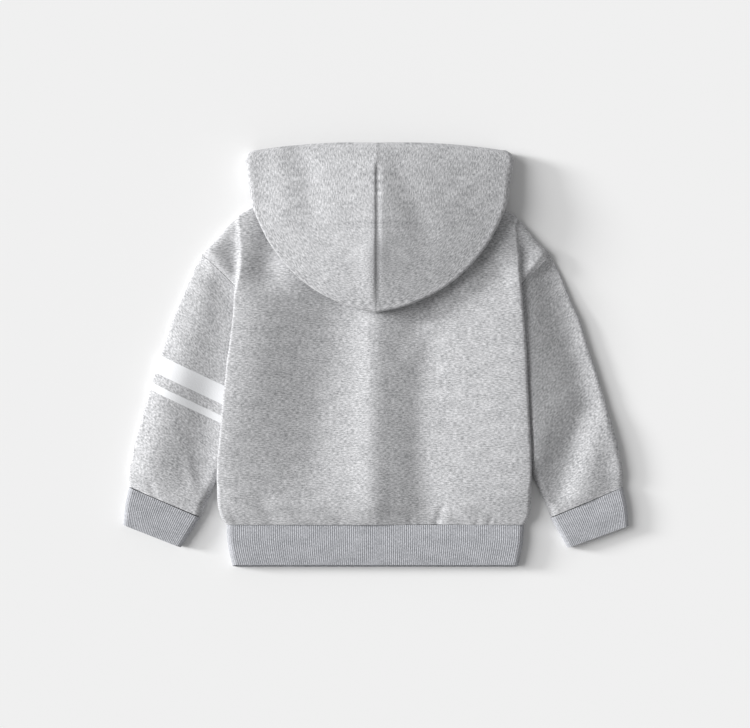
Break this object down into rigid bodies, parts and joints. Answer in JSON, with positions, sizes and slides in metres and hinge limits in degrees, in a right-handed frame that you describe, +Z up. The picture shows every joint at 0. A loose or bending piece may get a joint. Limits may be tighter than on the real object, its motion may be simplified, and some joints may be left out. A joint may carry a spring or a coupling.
{
  "type": "toddler hoodie",
  "caption": "Toddler's pullover hoodie laid face down, with a two-panel hood folded onto its back, drop sleeves, ribbed cuffs and a ribbed hem band.",
  "frame": {"origin": "centre of the bounding box's bottom face, on the surface that the garment lies on", "axes": "+Z up from the surface, +Y from the hem to the hood, +X to the right as seen from above, which is the wearer's right because the back is up"},
  "size_m": [0.5752, 0.4829, 0.0441],
  "materials": {
    "fleece": "light grey marl sweatshirt fleece, matt with a soft nap",
    "rib": "light grey marl rib knit, matt, ribs about 2.4 mm apart"
  },
  "bodies": {
    "root": {"front_panel": "fleece", "back_panel": "fleece", "sleeve_left": "fleece", "sleeve_right": "fleece", "cuff_left": "rib", "cuff_right": "rib", "hem_band": "rib", "hood_left": "fleece", "hood_right": "fleece"}
  },
  "joints": []
}
